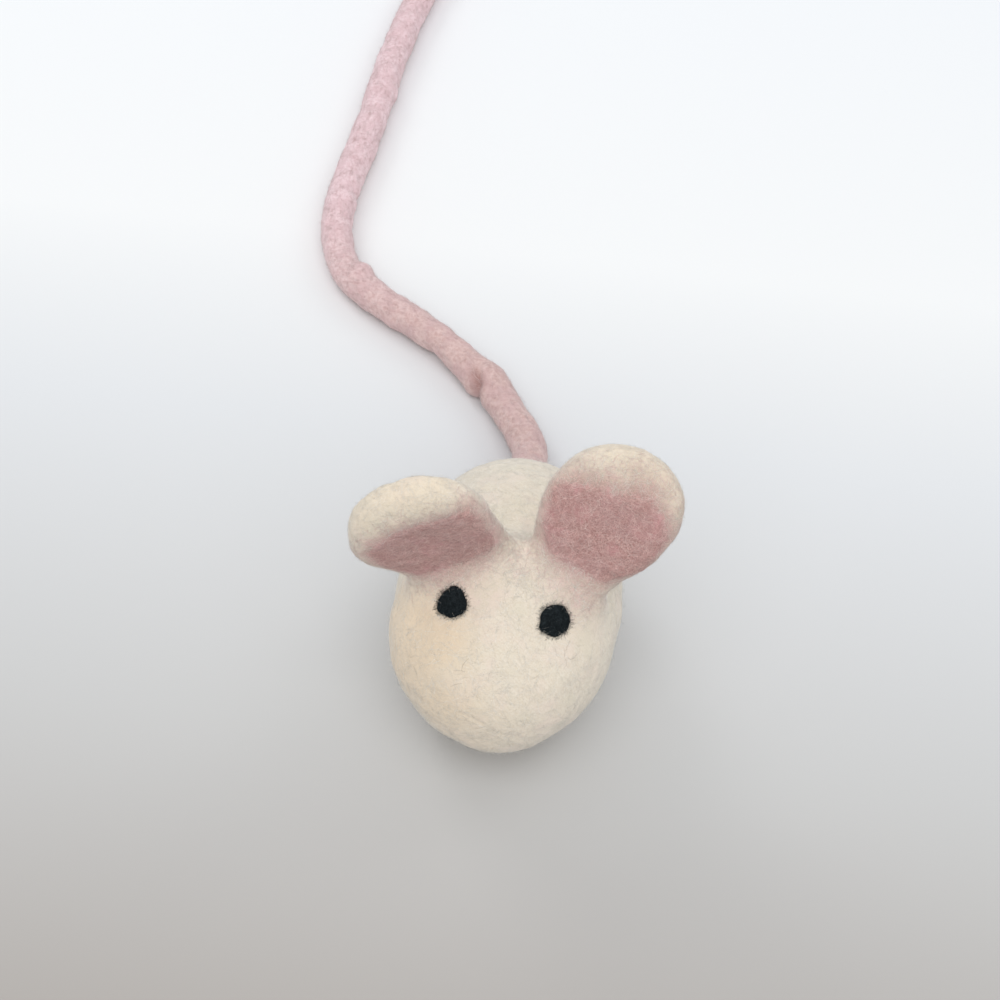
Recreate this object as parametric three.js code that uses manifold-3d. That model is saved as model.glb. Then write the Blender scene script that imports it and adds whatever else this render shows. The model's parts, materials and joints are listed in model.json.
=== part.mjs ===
// Felted wool catnip mouse: a hand-made cat toy with two paddle ears and a long felt-rope tail.
// Millimetres, +Z up. The mouse faces -Y, its left side is +X, and its belly rests on z = 0.
import * as THREE from "three";
import { mergeVertices } from "three/addons/utils/BufferGeometryUtils.js";
import Module from "manifold-3d";

// Space left between neighbouring pieces.
const CLEARANCE = 0.3;

// Body: an egg of felted wool, blunt at the nose and drawn out to the rump. Its nose is raised by
// an angle in degrees, so that the belly's flat lies under the middle of its weight.
const BODY_WIDTH = 43.5;
const BODY_HEIGHT = 41;
const NOSE_LENGTH = 23;
const RUMP_LENGTH = 40;
const RUMP_FULLNESS = 2.4;
const NOSE_LIFT_ANGLE = 4.5;
const BELLY_FLAT_DEPTH = 0.5;
const SKIN_THICKNESS = 5;

// Catnip packed in the middle of the wool core.
const CATNIP_WIDTH = 16;
const CATNIP_LENGTH = 22;
const CATNIP_HEIGHT = 14;
const CATNIP_SET_BACK = 4;

// Eyes: plugs of black wool needled into pockets in the skin. Turn is measured sideways from the
// nose and rise above the body's long axis, in degrees.
const EYE_DIAMETER = 6.2;
const EYE_DEPTH = 3.6;
const EYE_PROUD = 1;
const LEFT_EYE_TURN_ANGLE = 42;
const LEFT_EYE_RISE_ANGLE = 48.5;
const RIGHT_EYE_TURN_ANGLE = 44;
const RIGHT_EYE_RISE_ANGLE = 51.5;

// Ears: thick, slightly cupped felt paddles, each seated by a rounded root in a groove on the head.
// A fold is in degrees from square to the skin, forwards positive.
const EAR_LENGTH = 28;
const EAR_WIDTH = 26;
const EAR_THICKNESS = 8.2;
const EAR_WIDEST_AT = 15.5;
const EAR_SQUARENESS = 2.6;
const EAR_CUP = 1;
const EAR_ROOT_WIDTH = 15;
const EAR_ROOT_THICKNESS = 6.6;
const EAR_SEAT_DEPTH = 2.2;
const EAR_TURN_ANGLE = 78;
const EAR_RISE_ANGLE = 61.5;
const EAR_TOE_IN_ANGLE = 7;
const LEFT_EAR_FOLD_ANGLE = -18;
const RIGHT_EAR_FOLD_ANGLE = 14;

// Ear linings: pink wool laid into a shallow recess in the front of each ear.
const LINING_WIDTH = 21;
const LINING_THICKNESS = 1.6;
const LINING_START = 2.5;
const LINING_END = 23.5;

// Tail: a felt rope. Its buried root ends in a cup, the rope outside starts in a ball that swings in
// that cup, and a set fold further on lets the rest lift.
const TAIL_DIAMETER = 7.6;
const TAIL_EXIT_DROP = 6;
const TAIL_PIVOT_PROUD = 1.2;
const TAIL_STRAIGHT = 5;
const TAIL_ROOT_LENGTH = 20;
const TAIL_FOLD_AT = 44;
const TAIL_FLOOR_GAP = 0.1;

// Where the rope runs after its straight start: sideways and backwards from the cup, and how far
// it floats above its lying height.
const TAIL_ROUTE = [
  [0.5, 12, 4.7],
  [-0.1, 20, 2.4],
  [-2.5, 26.5, 1.1],
  [-6.2, 33.2, 0.3],
  [-9.6, 38.6, 0],
  [-14, 43.8, 0],
  [-20, 49.5, 0],
  [-28.4, 56, 0],
  [-37, 62, 0],
  [-43.4, 67.8, 0],
  [-48.2, 75, 0],
  [-50.7, 83.5, 0],
  [-51.4, 93, 0],
  [-50.8, 104, 0],
  [-49.7, 116, 0],
  [-48.6, 128, 0],
  [-47.8, 141, 0],
  [-46.8, 154, 0],
  [-45.4, 166, 0],
  [-43.8, 178, 0],
  [-41.3, 190, 0],
  [-37, 201, 0],
  [-30.5, 211, 0],
];

// Fineness of the facets.
const BODY_RINGS = 26;
const BODY_SIDES = 40;
const CORE_RINGS = 16;
const CORE_SIDES = 28;
const EAR_RINGS = 20;
const EAR_SIDES = 28;
const EYE_SIDES = 18;
const ROPE_SIDES = 10;
const ROPE_STEP = 6;

const CREAM = 0xe6dccb;
const ROSE = 0xb58a88;
const PINK = 0xcfa5a0;
const BLACK = 0x181e21;
const OATMEAL = 0xcfc4ae;
const HERB = 0x7d8154;

const wasm = await Module();
wasm.setup();

const radians = THREE.MathUtils.degToRad;

// A closed three.js geometry as a solid that can be joined and cut.
function solid(geometry) {
  const bare = new THREE.BufferGeometry();
  bare.setAttribute("position", geometry.getAttribute("position"));
  bare.setIndex(geometry.index);
  const merged = mergeVertices(bare);
  const corners = merged.index.array;
  const kept = [];
  for (let i = 0; i < corners.length; i += 3) {
    const [a, b, c] = corners.slice(i, i + 3);
    if (a !== b && b !== c && c !== a) kept.push(a, b, c);
  }
  const vertProperties = new Float32Array(merged.getAttribute("position").array);
  const triVerts = new Uint32Array(kept);
  return new wasm.Manifold(new wasm.Mesh({ numProp: 3, vertProperties, triVerts }));
}

// A solid as one named, coloured piece of the mouse.
function piece(name, shape, color, roughness) {
  const { vertProperties, triVerts } = shape.getMesh();
  const geometry = new THREE.BufferGeometry();
  geometry.setAttribute("position", new THREE.BufferAttribute(vertProperties, 3));
  geometry.setIndex(new THREE.BufferAttribute(triVerts, 1));
  geometry.computeVertexNormals();
  const material = new THREE.MeshStandardMaterial({ color, roughness, metalness: 0 });
  const mesh = new THREE.Mesh(geometry, material);
  mesh.name = name;
  return mesh;
}

// Flattened ball, centred on the origin.
function ball(halfX, halfY, halfZ, sides) {
  const geometry = new THREE.SphereGeometry(1, sides, Math.ceil(sides / 2));
  return solid(geometry.scale(halfX, halfY, halfZ));
}

function moved(shape, matrix) {
  return shape.transform(matrix.elements);
}

// The body's egg, or a smaller one drawn in evenly by an inset. Its long axis is Y, nose at -Y.
class Egg {
  constructor(inset) {
    this.halfWidth = BODY_WIDTH / 2 - inset;
    this.halfHeight = BODY_HEIGHT / 2 - inset;
    this.nose = NOSE_LENGTH - inset;
    this.rump = RUMP_LENGTH - inset;
  }

  // Length and roundness of the nose half or the rump half.
  half(y) {
    return y < 0 ? [this.nose, 2] : [this.rump, RUMP_FULLNESS];
  }

  shape(rings, sides) {
    const profile = [];
    for (let i = 0; i <= rings; i++) {
      const t = Math.PI * (i / rings - 0.5);
      const [length, fullness] = this.half(t);
      const along = Math.sign(t) * length * Math.abs(Math.sin(t)) ** (2 / fullness);
      const out = i % rings === 0 ? 0 : this.halfWidth * Math.cos(t) ** (2 / fullness);
      profile.push(new THREE.Vector2(out, along));
    }
    const geometry = new THREE.LatheGeometry(profile, sides);
    return solid(geometry.scale(1, 1, this.halfHeight / this.halfWidth));
  }

  // Point on the skin in a direction from the egg's middle, and the outward normal there.
  skin(turn, rise) {
    const level = Math.cos(radians(rise));
    const point = new THREE.Vector3(
      level * Math.sin(radians(turn)),
      -level * Math.cos(radians(turn)),
      Math.sin(radians(rise)),
    );
    const [length, fullness] = this.half(point.y);
    const round = Math.hypot(point.x / this.halfWidth, point.z / this.halfHeight);
    const along = Math.abs(point.y) / length;
    const normal = new THREE.Vector3(
      (round ** (fullness - 2) * point.x) / this.halfWidth ** 2,
      (along ** (fullness - 1) * Math.sign(point.y)) / length,
      (round ** (fullness - 2) * point.z) / this.halfHeight ** 2,
    );
    point.multiplyScalar((round ** fullness + along ** fullness) ** (-1 / fullness));
    return { point, normal: normal.normalize() };
  }

  // Lowest point when the nose is raised by an angle: how far along the axis and how far below it.
  lowest(lift) {
    const dual = RUMP_FULLNESS / (RUMP_FULLNESS - 1);
    const along = this.rump * Math.sin(lift);
    const below = this.halfHeight * Math.cos(lift);
    const reach = (along ** dual + below ** dual) ** (1 / dual);
    return [this.rump * (along / reach) ** (dual - 1), this.halfHeight * (below / reach) ** (dual - 1)];
  }
}

// Frame on the skin: Z along the normal, Y backwards along the body, twisted about that normal.
function skinFrame(turn, rise, twist, height) {
  const { point, normal } = outer.skin(turn, rise);
  const back = new THREE.Vector3(0, 1, 0).addScaledVector(normal, -normal.y).normalize();
  back.applyAxisAngle(normal, twist);
  const across = new THREE.Vector3().crossVectors(back, normal);
  point.addScaledVector(normal, height);
  return new THREE.Matrix4().makeBasis(across, back, normal).setPosition(point);
}

const mouse = new THREE.Group();
const outer = new Egg(0);

// The body's frame: the egg's middle, tipped back over the lowest point of the belly.
const lift = radians(NOSE_LIFT_ANGLE);
const [lowAlong, lowBelow] = outer.lowest(lift);
const body = new THREE.Group();
body.rotation.x = -lift;
body.position.y = lowBelow * Math.sin(lift) - lowAlong * Math.cos(lift);
body.position.z = lowBelow * Math.cos(lift) + lowAlong * Math.sin(lift) - BELLY_FLAT_DEPTH;
body.updateMatrixWorld();
mouse.add(body);

// Tail root: the rope's inner end, with a cup for the ball of the rope outside.
const rope = TAIL_DIAMETER / 2;
const exit = outer.skin(180, -TAIL_EXIT_DROP);
const cup = exit.point.clone().addScaledVector(exit.normal, TAIL_PIVOT_PROUD);
const outward = new THREE.Quaternion().setFromUnitVectors(new THREE.Vector3(0, 1, 0), exit.normal);
function bore(radius, length) {
  const geometry = new THREE.CylinderGeometry(radius, radius, length, 2 * ROPE_SIDES);
  geometry.translate(0, -length / 2, 0).applyQuaternion(outward);
  return solid(geometry.translate(cup.x, cup.y, cup.z));
}
const swingRoom = rope + CLEARANCE;
const cupHollow = ball(swingRoom, swingRoom, swingRoom, 2 * ROPE_SIDES).translate(...cup);
body.add(piece("tail_root", bore(rope, TAIL_ROOT_LENGTH).subtract(cupHollow), PINK, 0.95));

// Catnip and the wool core round it. The rope's hole in the core runs on into the catnip.
const catnipCentre = new THREE.Vector3(0, CATNIP_SET_BACK, 0);
function catnip(grow) {
  const halves = [CATNIP_WIDTH, CATNIP_LENGTH, CATNIP_HEIGHT].map((size) => size / 2 + grow);
  return ball(...halves, CORE_SIDES).translate(...catnipCentre);
}
const rootHole = bore(rope + CLEARANCE, TAIL_ROOT_LENGTH + CLEARANCE);
const fillHole = bore(rope + CLEARANCE, cup.distanceTo(catnipCentre));
body.add(piece("catnip_fill", catnip(0).subtract(rootHole), HERB, 1));
const core = new Egg(SKIN_THICKNESS + CLEARANCE).shape(CORE_RINGS, CORE_SIDES);
body.add(piece("core_wool", core.subtract(catnip(CLEARANCE)).subtract(fillHole), OATMEAL, 1));

// Skin: the egg, hollowed for the core, flat under the belly and bored for the rope.
const floorSize = 4 * (NOSE_LENGTH + RUMP_LENGTH);
const floor = new THREE.BoxGeometry(floorSize, floorSize, floorSize).translate(0, 0, -floorSize / 2);
floor.applyMatrix4(body.matrixWorld.clone().invert());
let skin = outer.shape(BODY_RINGS, BODY_SIDES);
skin = skin.subtract(new Egg(SKIN_THICKNESS).shape(CORE_RINGS, CORE_SIDES));
skin = skin.subtract(solid(floor)).subtract(fillHole);

// Eyes: each plug stands a little proud of its pocket.
function eye(grow) {
  return ball(EYE_DIAMETER / 2 + grow, EYE_DIAMETER / 2 + grow, EYE_DEPTH / 2 + grow, EYE_SIDES);
}
const eyes = [
  ["left_eye", LEFT_EYE_TURN_ANGLE, LEFT_EYE_RISE_ANGLE],
  ["right_eye", -RIGHT_EYE_TURN_ANGLE, RIGHT_EYE_RISE_ANGLE],
];
for (const [name, turn, rise] of eyes) {
  const frame = skinFrame(turn, rise, 0, EYE_PROUD - EYE_DEPTH / 2);
  skin = skin.subtract(moved(eye(CLEARANCE), frame));
  const mesh = piece(name, eye(0), BLACK, 0.9);
  mesh.applyMatrix4(frame);
  body.add(mesh);
}

// Half width and half thickness of an ear at a height above its hinge line, and how square its
// section is there. The root is a ball drawn out along the hinge line, so that it can turn.
const earRoot = EAR_ROOT_THICKNESS / 2;
function earHalves(z) {
  if (z < 0) {
    const round = Math.sqrt(1 - (z / earRoot) ** 2);
    return [(EAR_ROOT_WIDTH / 2) * round, earRoot * round, 2];
  }
  if (z < EAR_WIDEST_AT) {
    const swell = Math.sin((Math.PI / 2) * (z / EAR_WIDEST_AT));
    const mix = THREE.MathUtils.lerp;
    return [
      mix(EAR_ROOT_WIDTH, EAR_WIDTH, swell) / 2,
      mix(EAR_ROOT_THICKNESS, EAR_THICKNESS, swell) / 2,
      mix(2, EAR_SQUARENESS, swell),
    ];
  }
  const out = (z - EAR_WIDEST_AT) / (EAR_LENGTH - EAR_WIDEST_AT);
  const rounding = (1 - out ** EAR_SQUARENESS) ** (1 / EAR_SQUARENESS);
  return [(EAR_WIDTH / 2) * Math.sqrt(1 - out ** 2), (EAR_THICKNESS / 2) * rounding, EAR_SQUARENESS];
}

// Whole ear, front at -Y, standing on its hinge line along X. Its sides curl forwards.
function paddle() {
  const corners = [0, 0, -earRoot];
  const faces = [];
  for (let ring = 1; ring < EAR_RINGS; ring++) {
    const sweep = (1 - Math.cos((Math.PI * ring) / EAR_RINGS)) / 2;
    const z = THREE.MathUtils.lerp(-earRoot, EAR_LENGTH, sweep);
    const [width, thickness, square] = earHalves(z);
    const curl = EAR_CUP * THREE.MathUtils.smoothstep(z, 0, EAR_WIDEST_AT);
    for (let i = 0; i < EAR_SIDES; i++) {
      const angle = (2 * Math.PI * i) / EAR_SIDES;
      const [c, s] = [Math.cos(angle), Math.sin(angle)];
      const x = width * Math.sign(c) * Math.abs(c) ** (2 / square);
      const y = thickness * Math.sign(s) * Math.abs(s) ** (2 / square);
      corners.push(x, y - curl * ((2 * x) / EAR_WIDTH) ** 2, z);
    }
  }
  const tip = corners.length / 3;
  corners.push(0, 0, EAR_LENGTH);
  for (let i = 0; i < EAR_SIDES; i++) {
    const next = (i + 1) % EAR_SIDES;
    faces.push(0, 1 + next, 1 + i);
    for (let ring = 0; ring < EAR_RINGS - 2; ring++) {
      const [low, high] = [1 + ring * EAR_SIDES, 1 + (ring + 1) * EAR_SIDES];
      faces.push(low + i, low + next, high + next, low + i, high + next, high + i);
    }
    faces.push(tip - EAR_SIDES + i, tip - EAR_SIDES + next, tip);
  }
  const geometry = new THREE.BufferGeometry();
  geometry.setAttribute("position", new THREE.Float32BufferAttribute(corners, 3));
  geometry.setIndex(faces);
  return solid(geometry);
}

// Block with the lining's outline, from the lining's back to well in front of the ear.
function liningBlock(grow) {
  const outline = new THREE.Shape();
  const middle = (LINING_START + LINING_END) / 2;
  const halfWidth = LINING_WIDTH / 2 + grow;
  const halfLength = (LINING_END - LINING_START) / 2 + grow;
  outline.absellipse(0, middle, halfWidth, halfLength, 0, 2 * Math.PI);
  const settings = {
    depth: EAR_THICKNESS + EAR_CUP,
    curveSegments: EAR_SIDES / 2,
    bevelEnabled: false,
  };
  const geometry = new THREE.ExtrudeGeometry(outline, settings).rotateX(Math.PI / 2);
  return solid(geometry.translate(0, LINING_THICKNESS - EAR_THICKNESS / 2 + grow, 0));
}

const earPaddle = paddle();
const earHollowed = earPaddle.subtract(liningBlock(CLEARANCE));
const earLining = earPaddle.intersect(liningBlock(0));
const seatRoom = earRoot + CLEARANCE;
const seat = ball(EAR_ROOT_WIDTH / 2 + CLEARANCE, seatRoom, seatRoom, EAR_SIDES);
const ears = [
  ["left_ear", 1, LEFT_EAR_FOLD_ANGLE],
  ["right_ear", -1, RIGHT_EAR_FOLD_ANGLE],
];
for (const [name, side, fold] of ears) {
  const toeIn = -side * radians(EAR_TOE_IN_ANGLE);
  const frame = skinFrame(side * EAR_TURN_ANGLE, EAR_RISE_ANGLE, toeIn, earRoot - EAR_SEAT_DEPTH);
  skin = skin.subtract(moved(seat, frame));
  const ear = new THREE.Group();
  ear.applyMatrix4(frame);
  ear.rotateX(radians(fold));
  ear.add(piece(name, earHollowed, CREAM, 0.95));
  ear.add(piece(`${name}_lining`, earLining, ROSE, 0.95));
  body.add(ear);
}
body.add(piece("body_shell", skin, CREAM, 0.95));

// One stretch of the rope's route, between two distances along it.
class Stretch extends THREE.Curve {
  constructor(route, from, to) {
    super();
    Object.assign(this, { route, from, to });
  }

  getPoint(t) {
    const along = THREE.MathUtils.lerp(this.from, this.to, t);
    return this.route.getPointAt(along / this.route.getLength());
  }
}

function ropeTube(stretch) {
  const section = new THREE.Shape().absarc(0, 0, rope, 0, 2 * Math.PI);
  const settings = {
    extrudePath: stretch,
    steps: Math.ceil((stretch.to - stretch.from) / ROPE_STEP),
    curveSegments: ROPE_SIDES / 2,
    bevelEnabled: false,
  };
  return solid(new THREE.ExtrudeGeometry(section, settings));
}

const ropeBall = ball(rope, rope, rope, 2 * ROPE_SIDES);
const lying = rope + TAIL_FLOOR_GAP;
const pivot = cup.clone().applyMatrix4(body.matrixWorld);
const away = exit.normal.clone().transformDirection(body.matrixWorld);
const route = new THREE.CatmullRomCurve3([
  pivot,
  pivot.clone().addScaledVector(away, TAIL_STRAIGHT),
  ...TAIL_ROUTE.map(([x, y, z]) => new THREE.Vector3(x, pivot.y + y, lying + z)),
]);
const routeLength = route.getLength();
const foldStart = route.getPointAt(TAIL_FOLD_AT / routeLength);
const foldLine = foldStart.clone().add(new THREE.Vector3(0, 0, rope));

// Tail base: from the cup to the set fold. The rest hinges on the top edge of its cut end.
const baseTube = ropeTube(new Stretch(route, 0, TAIL_FOLD_AT - CLEARANCE / 2));
const baseShape = baseTube.add(ropeBall.translate(...pivot));
const tailBase = piece("tail_base", baseShape.translate(...pivot.clone().negate()), PINK, 0.95);
tailBase.position.copy(pivot);
mouse.add(tailBase);

const tailTube = ropeTube(new Stretch(route, TAIL_FOLD_AT + CLEARANCE / 2, routeLength));
const tailShape = tailTube.add(ropeBall.translate(...route.getPoint(1)));
const tail = piece("tail", tailShape.translate(...foldLine.clone().negate()), PINK, 0.95);
tail.position.copy(foldLine);
mouse.add(tail);

export default mouse;
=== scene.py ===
import json
import math

import bmesh
import bpy
import numpy as np
from mathutils import Matrix, Vector, noise
from mathutils.bvhtree import BVHTree


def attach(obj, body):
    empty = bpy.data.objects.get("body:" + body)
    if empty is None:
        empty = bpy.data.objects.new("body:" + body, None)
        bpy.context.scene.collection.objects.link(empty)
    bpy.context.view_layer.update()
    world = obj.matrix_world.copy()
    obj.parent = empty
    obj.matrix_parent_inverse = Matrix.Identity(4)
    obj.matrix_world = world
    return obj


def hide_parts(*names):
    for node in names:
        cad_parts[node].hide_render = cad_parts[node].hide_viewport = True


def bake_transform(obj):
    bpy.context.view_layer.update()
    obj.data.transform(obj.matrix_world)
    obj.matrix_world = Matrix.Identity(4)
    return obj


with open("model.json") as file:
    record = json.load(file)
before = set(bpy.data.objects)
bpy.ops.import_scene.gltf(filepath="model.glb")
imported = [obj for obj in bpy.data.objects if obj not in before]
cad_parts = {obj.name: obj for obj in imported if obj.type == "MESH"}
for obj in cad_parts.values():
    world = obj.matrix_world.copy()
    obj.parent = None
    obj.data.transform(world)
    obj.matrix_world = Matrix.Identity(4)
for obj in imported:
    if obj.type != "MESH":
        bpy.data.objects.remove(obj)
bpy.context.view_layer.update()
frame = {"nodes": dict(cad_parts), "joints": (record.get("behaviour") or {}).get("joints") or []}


# Catnip: dried, crushed leaf packed in the middle of the mouse. It keeps its CAD shape, shut in by
# the wool round it, and gets the mixed greens and browns of broken leaf.
class Dye:
    """A shader socket that joins in Python sums: each sum adds its Math node."""

    def __init__(self, tree, socket=None):
        self.tree = tree
        self.socket = socket

    def node(self, kind, settings, sockets, output=0):
        """Any node: its kind, then its settings, then the values or links of its sockets."""
        made = self.tree.nodes.new(kind)
        for name, value in settings.items():
            if name == "stops":
                elements = made.color_ramp.elements
                while len(elements) < len(value):
                    elements.new(1.0)
                for element, (place, colour) in zip(elements, value):
                    element.position = place
                    element.color = colour
            else:
                setattr(made, name, value)
        for name, value in sockets.items():
            if isinstance(value, Dye):
                self.tree.links.new(value.socket, made.inputs[name])
            else:
                made.inputs[name].default_value = value
        return Dye(self.tree, made.outputs[output] if made.outputs else None)

    def sum(self, operation, first, second):
        return self.node("ShaderNodeMath", {"operation": operation}, {0: first, 1: second})

    def __add__(self, other):
        return self.sum("ADD", self, other)

    def __sub__(self, other):
        return self.sum("SUBTRACT", self, other)

    def __rsub__(self, other):
        return self.sum("SUBTRACT", other, self)

    def __mul__(self, other):
        return self.sum("MULTIPLY", self, other)

    __radd__ = __add__
    __rmul__ = __mul__


def dyed(red, green, blue):
    """A colour as a screen shows it, from 0 to 255, in the renderer's own linear values."""
    return tuple(((c / 255 + 0.055) / 1.055) ** 2.4 for c in (red, green, blue)) + (1.0,)


def new_finish(name):
    """An empty finish, and the dye that starts its nodes."""
    made = bpy.data.materials.new(name)
    made.use_nodes = True
    made.node_tree.nodes.clear()
    return made, Dye(made.node_tree)


def mixed(dye, share, first, second):
    """Two colours mixed, by the share of the second."""
    return dye.node(
        "ShaderNodeMix", {"data_type": "RGBA", "clamp_factor": True}, {0: share, 6: first, 7: second}, 2
    )


def between(dye, value, low, high):
    """0 at low and 1 at high, with a soft step between them. Low may be the higher of the two."""
    return dye.node(
        "ShaderNodeMapRange",
        {"interpolation_type": "SMOOTHSTEP"},
        {"Value": value, "From Min": low, "From Max": high},
    )


def mottle(dye, place, size, detail=2.0):
    """Soft, even mottling with patches of about a size in metres."""
    return dye.node(
        "ShaderNodeTexNoise", {}, {"Vector": place, "Scale": 1 / size, "Detail": detail}, "Fac"
    )


def coat(dye, sockets):
    """Closes a finish with its surface."""
    surface = dye.node("ShaderNodeBsdfPrincipled", {}, sockets, "BSDF")
    dye.node("ShaderNodeOutputMaterial", {}, {"Surface": surface})


def matted(dye, colour, height, relief, sheen):
    """Closes a finish as a dry, rough, matted surface with a soft sheen off its loose ends."""
    bump = {"Strength": 0.7, "Distance": relief, "Height": height}
    sockets = {
        "Base Color": colour,
        "Roughness": 0.95,
        "Specular IOR Level": 0.15,
        "Sheen Weight": sheen,
        "Sheen Roughness": 0.6,
        "Normal": dye.node("ShaderNodeBump", {}, bump, "Normal"),
    }
    coat(dye, sockets)


LEAF_FLAKES_PER_METRE = 900.0
LEAF_COLOURS = [
    (0.0, dyed(84, 78, 48)),
    (0.4, dyed(112, 116, 70)),
    (0.8, dyed(140, 142, 96)),
    (1.0, dyed(168, 158, 116)),
]
leaf, dye = new_finish("dried_catnip")
place = dye.node("ShaderNodeTexCoord", {}, {}, "Object")
flakes = {"Vector": place, "Scale": LEAF_FLAKES_PER_METRE}
flake = dye.node("ShaderNodeTexVoronoi", {}, flakes, "Color")
flake_tone = dye.node("ShaderNodeSeparateColor", {}, {"Color": flake}, "Red")
flake_edge = dye.node("ShaderNodeTexVoronoi", {}, flakes, "Distance")
leaf_colour = dye.node("ShaderNodeValToRGB", {"stops": LEAF_COLOURS}, {"Fac": flake_tone}, "Color")
matted(dye, leaf_colour, flake_tone - flake_edge, relief=0.0006, sheen=0.0)
frame["nodes"]["catnip_fill"].material_slots[0].material = leaf


# Core wool: a ball of coarse, undyed oatmeal wool wound loosely round the catnip. The skin is felted
# over it, so it keeps its CAD shape and gets its colour and its lay of strands.
STRAND_TURNS = ((0.4, 0.9, 0.2), (1.3, -0.5, 0.9), (-0.7, 0.5, 1.6))


def strands(dye, place, width, reach):
    """Fibres lying criss-cross: noise drawn out along three directions, in metres."""
    lie = None
    for turn in STRAND_TURNS:
        laid = dye.node(
            "ShaderNodeMapping",
            {"vector_type": "TEXTURE"},
            {"Vector": place, "Rotation": turn, "Scale": (width, width, reach)},
        )
        one_way = mottle(dye, laid, 1.0)
        lie = one_way if lie is None else dye.sum("MAXIMUM", lie, one_way)
    return lie


wound, dye = new_finish("core_wool")
place = dye.node("ShaderNodeTexCoord", {}, {}, "Object")
lie = strands(dye, place, width=0.0005, reach=0.006)
wound_colour = mixed(dye, between(dye, lie, 0.45, 0.75), dyed(178, 165, 138), dyed(220, 209, 184))
matted(dye, wound_colour, lie, relief=0.0006, sheen=0.2)
frame["nodes"]["core_wool"].material_slots[0].material = wound


# Body: an egg of cream wool, felted wet and rubbed round its core by hand, so it is nearly smooth but
# never true. The wool is pressed flat under the belly and drawn in round the tail and the eyes.
BODY_MIDDLE = np.array([0.0, -8.706, 20.413])
BODY_HALF_WIDTH, BODY_HALF_HEIGHT = 21.75, 20.5
NOSE_LENGTH, RUMP_LENGTH = 23.0, 40.0
NOSE_FULLNESS, RUMP_FULLNESS = 2.0, 2.4
NOSE_LIFT = math.radians(4.5)
BODY_CELLS = 110
# Lumps have a height, a size and a seed. Swells and ridges have a height, a reach and a place or line.
BODY_LUMPS = [(0.5, 15.0, 1), (0.25, 6.5, 2), (0.13, 2.4, 3), (0.06, 1.0, 4)]
BODY_SWELLS = {
    "chin": (0.6, 6.5, (2.0, -26.5, 7.6)),
    "left eye hollow": (-0.45, 3.4, (9.43, -17.9, 37.1)),
    "right eye hollow": (-0.45, 3.4, (-9.15, -16.86, 37.67)),
}
BODY_RIDGES = {
    "bridge": (
        0.5, 2.2, [(-0.9, -8.7, 40.8), (-0.4, -16.9, 39.6), (0.6, -23.3, 36.4), (1.3, -26.1, 33.9)]
    ),
    "crease on the nose": (-0.16, 0.28, [(1.3, -26.1, 33.9), (2.0, -26.5, 33.4), (2.9, -26.4, 33.5)]),
    "crease below it": (-0.2, 0.28, [(-5.3, -30.7, 23.8), (-3.5, -31.2, 23.0), (-1.6, -31.5, 22.3)]),
    "flat left flank": (-1.2, 6.5, [(21.2, -11.5, 18.8), (19.8, -16.9, 16.3), (14.4, -23.2, 12.5)]),
    "flat right flank": (-0.55, 5.0, [(-21.7, -6.0, 23.0), (-21.6, -12.0, 20.5)]),
}
TAIL_EXIT = np.array([0.0, 30.48, 13.15])
TAIL_HOLE_DEPTH, TAIL_HOLE_REACH = 1.2, 3.4
TAIL_COLLAR_HEIGHT, TAIL_COLLAR_AT, TAIL_COLLAR_REACH = 0.5, 6.2, 1.3
DEEP_CREAM, CREAM = dyed(222, 210, 192), dyed(237, 229, 215)
PINK_CREAM, GREY_CREAM, WARM_CREAM = dyed(236, 219, 208), dyed(221, 215, 196), dyed(229, 209, 183)
DEEP_ROSE, ROSE = dyed(160, 116, 111), dyed(214, 172, 164)
DUSTY_ROSE, PINK_ROSE, BROWN_ROSE = dyed(190, 148, 150), dyed(204, 140, 144), dyed(172, 136, 134)
# Patches of strayed rose fibres and of warmer wool have a strength, a reach and a place.
ROSE_STRAYS = [
    (0.35, 4.0, (11.7, -14.3, 37.3)),
    (0.35, 3.0, (16.0, -9.6, 34.2)),
    (0.3, 3.0, (13.0, -10.6, 37.0)),
    (0.25, 3.0, (5.5, -10.0, 40.2)),
    (0.18, 3.0, (2.3, -5.0, 40.5)),
    (0.45, 4.0, (-9.7, -13.3, 38.3)),
    (0.4, 3.0, (-16.6, -9.0, 34.0)),
    (0.32, 3.2, (-3.8, -9.6, 40.6)),
]
WARM_PATCHES = {
    "right cheek": (1.0, 6.0, (-13.0, -21.0, 30.0)),
    "right of the chin": (0.6, 6.0, (-7.0, -28.0, 20.0)),
    "right side": (1.15, 7.0, (-20.0, -14.0, 24.0)),
    "below the right eye": (0.4, 2.5, (-9.0, -20.5, 34.5)),
}
WARM_ALL_OVER = 0.25


def unit(arrows):
    """Arrows with the same directions, each one long."""
    return arrows / np.linalg.norm(arrows, axis=-1, keepdims=True)


def ball_grid(cells):
    """Directions and four-sided faces of a ball, wrapped from the six sides of a cube."""
    shape = bmesh.new()
    bmesh.ops.create_cube(shape, size=2.0)
    bmesh.ops.subdivide_edges(shape, edges=shape.edges[:], cuts=cells - 1, use_grid_fill=True)
    shape.verts.index_update()
    points = np.tan(np.array([v.co for v in shape.verts]) * math.pi / 4)
    faces = [[v.index for v in f.verts] for f in shape.faces]
    shape.free()
    return unit(points), faces


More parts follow.
